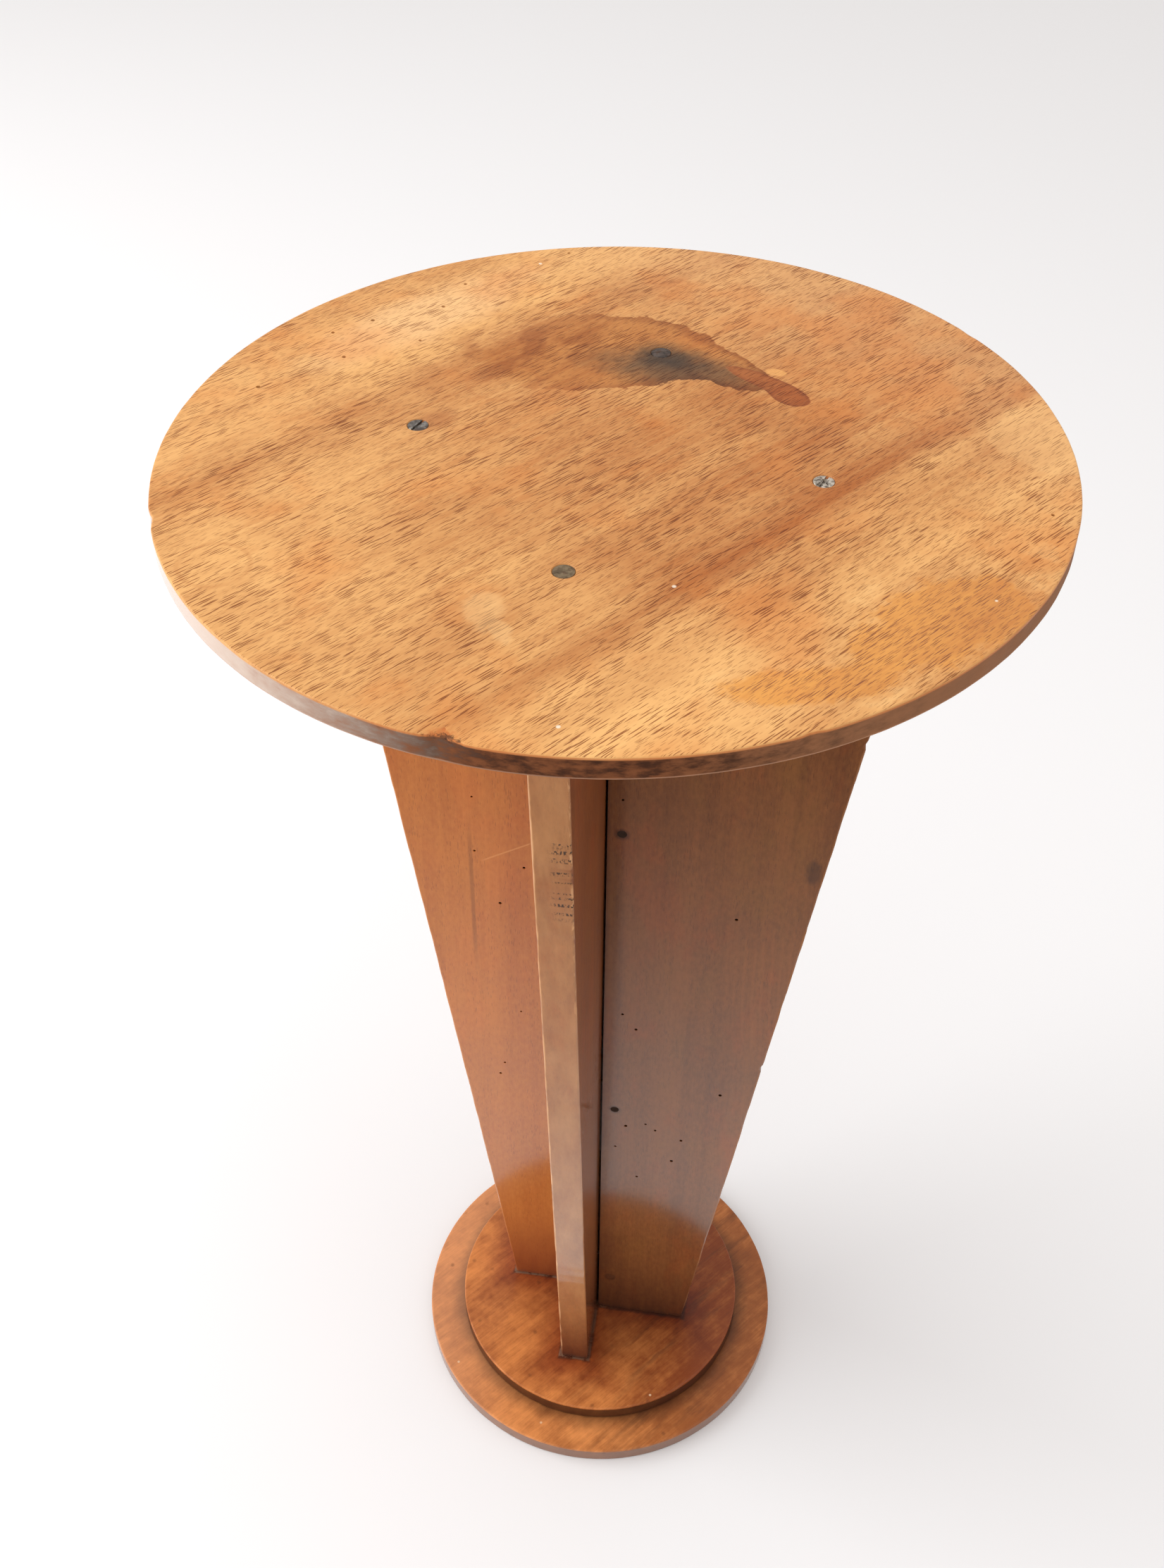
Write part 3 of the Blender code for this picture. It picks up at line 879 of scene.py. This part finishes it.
def cut(wood, cutters):
    """Takes closed shapes out of a piece, and keeps the result as its mesh."""
    joined = bmesh.new()
    for cutter in cutters:
        loose = bpy.data.meshes.new("loose")
        cutter.to_mesh(loose)
        cutter.free()
        joined.from_mesh(loose)
        bpy.data.meshes.remove(loose)
    tool = as_object("cutter", joined)
    boolean = wood.modifiers.new("cut", "BOOLEAN")
    boolean.operation = "DIFFERENCE"
    boolean.solver = "EXACT"
    boolean.object = tool
    bpy.context.view_layer.update()
    seen = wood.evaluated_get(bpy.context.evaluated_depsgraph_get())
    result = bpy.data.meshes.new_from_object(seen)
    wood.modifiers.clear()
    before = wood.data
    wood.data = result
    bpy.data.meshes.remove(before)
    bpy.data.objects.remove(tool)
    result.name = wood.name


def done(piece, finish, slot, *nodes):
    """Shades a piece, gives it its finish, and hides the nodes that it stands for."""
    piece.data.shade_smooth()
    piece.data.set_sharp_from_angle(angle=SMOOTH_BELOW)
    flat = piece.modifiers.new("flat_faces_stay_flat", "WEIGHTED_NORMAL")
    flat.keep_sharp = True
    piece.data.materials.clear()
    piece.data.materials.append(finish.material)
    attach(piece, "root")
    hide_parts(*nodes)
    print(piece.name, "has", len(piece.data.polygons), "faces")


# %% [markdown]
# ## Holes for the screws
#
# A countersunk screw sits in a funnel with a straight shaft below it. The hole is the same shape
# as the screw and wider by a hair, so that the two never touch. The base screws come from below,
# so their holes are the same shape turned over.

# %% Screw holes
TOP_SHANK = 2.4 * MM
BASE_SHANK = 2.1 * MM
LOOSE = 0.3 * MM
BORE_STEPS = 40
CUTTER_RISE = 4 * MM


def screw_bore(node, shank, heads_up):
    """The hole of a countersunk screw, wider than the screw by a hair."""
    low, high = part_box(node)
    head = (high.x - low.x) / 2 + LOOSE * 0.5
    tip = high.z - low.z
    shank = shank + LOOSE
    profile = [
        (0, CUTTER_RISE),
        (head + 0.4 * MM, CUTTER_RISE),
        (head + 0.4 * MM, 0.15 * MM),
        (head, -0.35 * MM),
        (head, -0.5 * MM),
        (shank, -0.5 * MM - head + shank),
        (shank, -tip),
        (0, -tip),
    ]
    centre = middle_of(node)
    face = high.z if heads_up else low.z
    flip = Matrix.Identity(4) if heads_up else Matrix.Rotation(math.pi, 4, "X")
    return moved(turned(profile, BORE_STEPS), Matrix.Translation((centre.x, centre.y, face)) @ flip)


def worm_hole(place, outwards, radius):
    """A small blind hole that starts just above a face."""
    shape = turned([(0, 1 * MM), (radius, 1 * MM), (radius, -3 * MM), (0, -3.5 * MM)], 10)
    facing = Vector(outwards).to_track_quat("Z", "Y").to_matrix().to_4x4()
    return moved(shape, Matrix.Translation(place) @ facing)


print("screw heads at", [tuple(round(c, 4) for c in middle_of("top_screw_" + s)[:2]) for s in SIDES])

# %% [markdown]
# ## Top and foot discs
#
# The three rounds of board are spun from a half profile with eased corners. The top is then made
# a little narrower across its grain, as real boards shrink, and its rim is moved in and out by a
# fraction of a millimetre. Two kinds of damage are real geometry: splinters knocked out of the
# upper arris, and the small round holes that wood-boring beetles leave.

# %% Discs
TOP_HOLES = [(-50, 186), (-96, 144), (-102, 119), (-133, 100), (-106, 84), (-149, 85), (-138, 63)]
TOP_HOLES += [(-170, 30), (186, -20)]
EASED = 0.9 * MM
TOP_STEPS, FOOT_STEPS = 1024, 256
RIM_WAVE = 20 * MM
# Each chip: its place, how wide it is and how deep, all in millimetres
RIM_CHIPS = [(-37, -197, 7, 2.6), (-182, -79, 5, 1.6), (96, -176, 4, 1.2), (150, 128, 4, 1.2)]


def disc_shape(radius, low, high, ease, steps):
    """A round of board, with its corners eased and rings enough to dent them."""
    rim = [(radius - 8 * MM, high), (radius - 4 * MM, high), (radius - 2 * ease, high)]
    for step in range(4):
        angle = math.pi / 2 * step / 3
        rim.append((radius - ease + ease * math.sin(angle), high - ease + ease * math.cos(angle)))
    rim.append((radius, high * 0.67 + low * 0.33))
    rim.append((radius, high * 0.33 + low * 0.67))
    for step in range(4):
        angle = math.pi / 2 * step / 3
        rim.append((radius - ease + ease * math.cos(angle), low + ease - ease * math.sin(angle)))
    rim.append((radius - 6 * MM, low))
    return turned([(0, high)] + rim + [(0, low)], steps)


def chip_rim(shape, chips, high):
    """Knocks splinters out of the upper arris at some places."""
    for vert in shape.verts:
        for x, y, width, depth in chips:
            spot = Vector((x * MM, y * MM, high))
            gap = (vert.co - spot).length / (width * MM)
            if gap < 2 and vert.co.xy.length > spot.xy.length - 5 * MM:
                ragged = 1 + 0.6 * noise.noise(vert.co * 500)
                push = depth * MM * ragged * math.exp(-gap * gap)
                vert.co.xy -= vert.co.xy.normalized() * push
                vert.co.z -= push * 0.3


def roughen_rim(shape, radius, amount, wave_length):
    """Moves the rim in and out a little, as a saw and a plane leave it."""
    for vert in shape.verts:
        flat = Vector((vert.co.x, vert.co.y, 0))
        if flat.length > radius - 3 * MM:
            wave = noise.noise(vert.co * (1 / wave_length))
            wave += 0.5 * noise.noise(vert.co * (3 / wave_length))
            vert.co -= flat.normalized() * amount * (0.5 + 0.5 * wave)


shape = disc_shape(TOP_LONG / 2, TOP_UNDER, TOP_FACE, EASED, TOP_STEPS)
turn = Matrix.Rotation(GRAIN, 4, "Z")
moved(shape, turn @ Matrix.Diagonal((1, TOP_SHORT / TOP_LONG, 1, 1)) @ turn.inverted())
roughen_rim(shape, TOP_SHORT / 2, 0.25 * MM, RIM_WAVE)
chip_rim(shape, RIM_CHIPS, TOP_FACE)
table_top = as_object("table_top", shape)
bores = [screw_bore("top_screw_" + side, TOP_SHANK, True) for side in SIDES]
for number, (x, y) in enumerate(TOP_HOLES):
    radius = (0.85 + 0.10 * (number % 4)) * MM
    bores.append(worm_hole((x * MM, y * MM, TOP_FACE), (0, 0, 1), radius))
cut(table_top, bores)
done(table_top, top_finish, "top_wood", "top_board")

for name, low, high in (("step_disc", step_low, step_high), ("base_disc", base_low, base_high)):
    radius = (high.x - low.x) / 2
    shape = disc_shape(radius, low.z, high.z, EASED, FOOT_STEPS)
    roughen_rim(shape, radius, 0.2 * MM, RIM_WAVE)
    disc = as_object("foot_" + name, shape)
    cut(disc, [screw_bore("base_screw_" + side, BASE_SHANK, False) for side in SIDES])
    done(disc, foot_finishes[name], "foot_wood", name)

# %% [markdown]
# ## The four boards
#
# All four are the same tapered board, turned by a quarter each time. The outer edge is the one that
# hands and shoes meet, so it gets rows of points from top to foot, a narrow bevel, and then wear:
# each point of the bevel moves inwards by a little noise, and by more at a few chips.

# %% Shape of a board
ROWS = 200
ARRIS_WIDTH = 1.1 * MM
WEAR_DEPTH = 0.28 * MM
PLUG_RADIUS = 2.55 * MM
PLUG_STEPS = 28
RIGHT_HOLES = [(9, 500), (12, 334), (20, 322), (16, 230), (28, 234), (34, 229), (50, 222), (45, 200)]
RIGHT_HOLES += [(10, 208), (24, 179), (71, 422), (71, 271)]
LEFT_HOLES = [(-73, 474), (-73, 434), (-46, 425), (-60, 395), (-50, 304), (-61, 254), (-64, 243)]
# Worm holes by board: their places, the face they are in, and the smallest one's radius in mm
WORM_HOLES = {"right": (RIGHT_HOLES, -BOARD_THICK, 0.75), "left": (LEFT_HOLES, 0.0, 0.65)}
# Each chip: its height, which of the board's two faces it is on, and its depth
CHIPS = {
    "right": [(0.300, -1, 1.0 * MM), (0.552, -1, 0.9 * MM)],
    "front": [(0.555, 1, 0.9 * MM), (0.548, 1, 0.7 * MM), (0.503, 1, 0.6 * MM), (0.478, 1, 0.6 * MM)],
    "left": [(0.41, -1, 0.8 * MM)],
    "back": [(0.25, 1, 0.9 * MM), (0.60, -1, 0.8 * MM)],
}


def board_shape(side, chips):
    """A tapered board as it stands on the right, with worn arrises down its outer edge."""
    low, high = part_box(side + "_board")
    turn = quarter_turn(side)
    corners = [turn.inverted() @ Vector((x, y, 0)) for x in (low.x, high.x) for y in (low.y, high.y)]
    inner = min(corner.x for corner in corners)
    back = max(corner.y for corner in corners)
    shape = bmesh.new()
    bmesh.ops.create_cube(shape, size=1.0)
    for vert in shape.verts:
        upper = vert.co.z > 0
        width = BOARD_TOP_WIDTH if upper else BOARD_FOOT_WIDTH
        vert.co.z = BOARD_HIGH if upper else BOARD_LOW
        vert.co.x = width if vert.co.x > 0 else inner
        vert.co.y = back if vert.co.y > 0 else back - BOARD_THICK
    upright = [e for e in shape.edges if abs(e.verts[0].co.z - e.verts[1].co.z) > 0.1]
    bmesh.ops.subdivide_edges(shape, edges=upright, cuts=ROWS, use_grid_fill=True)
    middle = (BOARD_TOP_WIDTH + inner) / 4
    arris = [
        e
        for e in shape.edges
        if abs(e.verts[0].co.y - e.verts[1].co.y) < 1e-6
        and min(v.co.x for v in e.verts) > middle
        and abs(e.verts[0].co.z - e.verts[1].co.z) > 1 * MM
    ]
    bmesh.ops.bevel(
        shape, geom=arris, offset=ARRIS_WIDTH, segments=3, profile=0.5, affect="EDGES", material=-1
    )
    for vert in shape.verts:
        x, y, z = vert.co
        outer = BOARD_FOOT_WIDTH + (z - BOARD_LOW) * SLOPE - x
        inwards = -1 if y > back - BOARD_THICK / 2 else 1
        if outer < 2 * MM:
            wear = 0.5 + noise.noise(Vector((x * 30, y * 300, z * 60))) + 0.4 * noise.noise(vert.co * 400)
            depth = WEAR_DEPTH * max(0.0, wear)
            for height, face, size in chips:
                if face == -inwards:
                    depth += size * math.exp(-(((z - height) / (2.2 * size)) ** 2))
            vert.co.x -= depth
            if min(abs(y - back), abs(y - back + BOARD_THICK)) > 0.02 * MM:
                vert.co.y += inwards * depth * 0.6
    return moved(shape, turn)


print("rows of points down a board:", ROWS)

# %% [markdown]
# ## Nail holes, and the boards put together
#
# A nail's hole is narrow, and wider over the head for the filler. Each board is bored for its own
# nails and for those of the board before it in the pinwheel, which end in its inner edge.

# %% Boards bored and finished
def nail_bore(name, side):
    """The hole of a punched nail, with the wider place over its head for the filler."""
    low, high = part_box("nail_" + name)
    middle = middle_of("plug_" + name)
    turn = quarter_turn(side)
    length = max(high.x - low.x, high.y - low.y)
    shank = 1.6 * MM
    profile = [
        (0, 2 * MM),
        (PLUG_RADIUS, 2 * MM),
        (PLUG_RADIUS, -3.2 * MM),
        (shank, -3.6 * MM),
        (shank, -length - 2.2 * MM),
        (0, -length - 2.2 * MM),
    ]
    face = turn @ Vector((0, -BOARD_THICK, 0))
    outwards = turn @ Vector((0, -1, 0))
    depth = (face - middle).dot(outwards)
    place = Matrix.Translation(middle + outwards * depth) @ turn @ Matrix.Rotation(math.pi / 2, 4, "X")
    return moved(turned(profile, PLUG_STEPS), place)


for index, side in enumerate(SIDES):
    board = as_object(side + "_leg_board", board_shape(side, CHIPS[side]))
    bores = [
        screw_bore("top_screw_" + side, TOP_SHANK, True),
        screw_bore("base_screw_" + side, BASE_SHANK, False),
    ]
    neighbour = SIDES[index - 1]
    for level in LEVELS:
        bores.append(nail_bore(side + "_" + level, side))
        bores.append(nail_bore(neighbour + "_" + level, neighbour))
    holes, face, least = WORM_HOLES.get(side, ([], 0.0, 0.0))
    for number, (x, z) in enumerate(holes):
        radius = (least + 0.10 * (number % 4)) * MM
        bores.append(worm_hole((x * MM, face, z * MM), (0, -1, 0), radius))
    cut(board, bores)
    done(board, board_finishes[side], "board_wood", side + "_board")

# %% [markdown]
# ## Screws in the top
#
# A wood screw with a slot is a spun head, cone and shank with a box taken out of its head. Two of
# the slots are open and clean. The other two are filled with old varnish and are barely a line, so
# their boxes are very shallow. The right screw has a torn slot, from a driver that slipped.

# %% Screws in the top
SCREW_STEPS = 48
SLOT_TURNS = {"right": 72, "back": 15, "left": 68, "front": 38}
SLOT_DEPTHS = {"right": 1.1 * MM, "back": 0.06 * MM, "left": 1.1 * MM, "front": 0.05 * MM}


def slot_tool(width, depth, angle):
    """A box that cuts a slot across a screw's head."""
    shape = bmesh.new()
    bmesh.ops.create_cube(shape, size=1.0)
    size = Matrix.Diagonal((12 * MM, width, 2 * depth, 1))
    return moved(shape, Matrix.Rotation(math.radians(angle), 4, "Z") @ size)


for side in SIDES:
    node = "top_screw_" + side
    low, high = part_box(node)
    head = (high.x - low.x) / 2
    length = high.z - low.z
    profile = [
        (0, 0.06 * MM),
        (head * 0.5, 0.05 * MM),
        (head - 0.5 * MM, 0.0),
        (head - 0.15 * MM, -0.08 * MM),
        (head, -0.25 * MM),
        (head, -0.4 * MM),
        (TOP_SHANK, -0.4 * MM - head + TOP_SHANK),
        (TOP_SHANK * 0.92, -length + 2.2 * TOP_SHANK),
        (0, -length),
    ]
    screw = as_object("worn_" + node, turned(profile, SCREW_STEPS))
    cut(screw, [slot_tool(1.3 * MM, SLOT_DEPTHS[side], SLOT_TURNS[side])])
    if side == "right":
        cut(screw, [slot_tool(1.9 * MM, 0.35 * MM, SLOT_TURNS[side] - 14)])
        cut(screw, [slot_tool(0.9 * MM, 0.25 * MM, SLOT_TURNS[side] + 52)])
    centre = middle_of(node)
    screw.data.transform(Matrix.Translation((centre.x, centre.y, high.z)))
    done(screw, screw_finishes[side], "screw_steel", node)

# %% [markdown]
# ## Plugs over the nails
#
# The nails were punched below the face and their holes filled. A plug is a short spun cylinder,
# dished a little as the filler shrank, with its upper points lifted by noise so that no two match.
# The lowest plug on each board was touched in with a browner filler.

# %% Plugs of filler
def plug_shape(seed):
    """A lump of filler, level with the board and never quite round."""
    profile = [
        (0, -0.12 * MM),
        (PLUG_RADIUS * 0.5, -0.08 * MM),
        (PLUG_RADIUS * 0.85, -0.02 * MM),
        (PLUG_RADIUS, -0.10 * MM),
        (PLUG_RADIUS, -1.9 * MM),
        (0, -1.9 * MM),
    ]
    shape = turned(profile, PLUG_STEPS)
    for vert in shape.verts:
        if vert.co.z > -0.11 * MM:
            vert.co.z += 0.06 * MM * noise.noise(vert.co * 900 + Vector((seed, 0, 0)))
    return shape


for number, side in enumerate(SIDES):
    turn = quarter_turn(side)
    for level in LEVELS:
        node = "plug_" + side + "_" + level
        local = turn.inverted() @ middle_of(node)
        on_face = Matrix.Translation((local.x, -BOARD_THICK, local.z))
        place = turn @ on_face @ Matrix.Rotation(math.pi / 2, 4, "X")
        plug = as_object("filler_" + side + "_" + level, moved(plug_shape(number), place))
        done(plug, brown_filler if level == "low" else dark_filler, "filler", node)

# %% [markdown]
# ## What stays from the engineering model
#
# The base screws and the nails are out of sight, and their shapes are right as they are. They only
# need a finish, which goes into their first material slot.

# %% CAD nodes that stay
for side in SIDES:
    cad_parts["base_screw_" + side].data.materials[0] = screw_finishes["left"].material
    for level in LEVELS:
        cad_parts["nail_" + side + "_" + level].data.materials[0] = nail_finish.material
print("finishes given to", len(SIDES), "base screws and", len(SIDES) * len(LEVELS), "nails")

# %% [markdown]
# ## Floor and light
#
# The table stands in a bright white studio. One plain floor reaches past the view on every side, so
# that there is no horizon from above, and it lies a hair under the foot, since two faces in one
# plane would flicker. The light is a large soft window on the left, a second one from straight
# above that is much weaker, and a pale room all round.

# %% Floor and light
FLOOR_HALF = 12.0
FLOOR_DROP = 0.1 * MM

floor_finish = Finish("pale_floor")
floor_finish.wear(Base_Color=(0.88, 0.885, 0.90, 1.0), Roughness=0.8)
shape = bmesh.new()
bmesh.ops.create_grid(shape, x_segments=1, y_segments=1, size=FLOOR_HALF)
moved(shape, Matrix.Translation((0, 0, -FLOOR_DROP)))
floor = as_object("floor", shape)
floor.data.materials.append(floor_finish.material)

world = bpy.data.worlds.new("pale_room")
bpy.context.scene.world = world
world.use_nodes = True
room = world.node_tree.nodes["Background"]
room.inputs["Color"].default_value = (1.0, 0.960, 0.932, 1.0)
room.inputs["Strength"].default_value = 0.77


def window(name, place, aim, width, height, power):
    """A soft area light that faces a point."""
    lamp = bpy.data.lights.new(name, "AREA")
    lamp.shape = "RECTANGLE"
    lamp.size = width
    lamp.size_y = height
    lamp.energy = power
    made = bpy.data.objects.new(name, lamp)
    made.location = place
    made.rotation_euler = (Vector(aim) - Vector(place)).to_track_quat("-Z", "Y").to_euler()
    bpy.context.scene.collection.objects.link(made)


window("left_window", (-2.6, -0.30, 1.6), (0.0, 0.0, 0.35), 3.0, 2.2, 66)
window("soft_roof", (0.2, -0.3, 2.6), (0.0, 0.0, 0.0), 2.4, 2.4, 13.5)

# %% [markdown] ## Size The looks must not make the table larger than its engineering
# model.
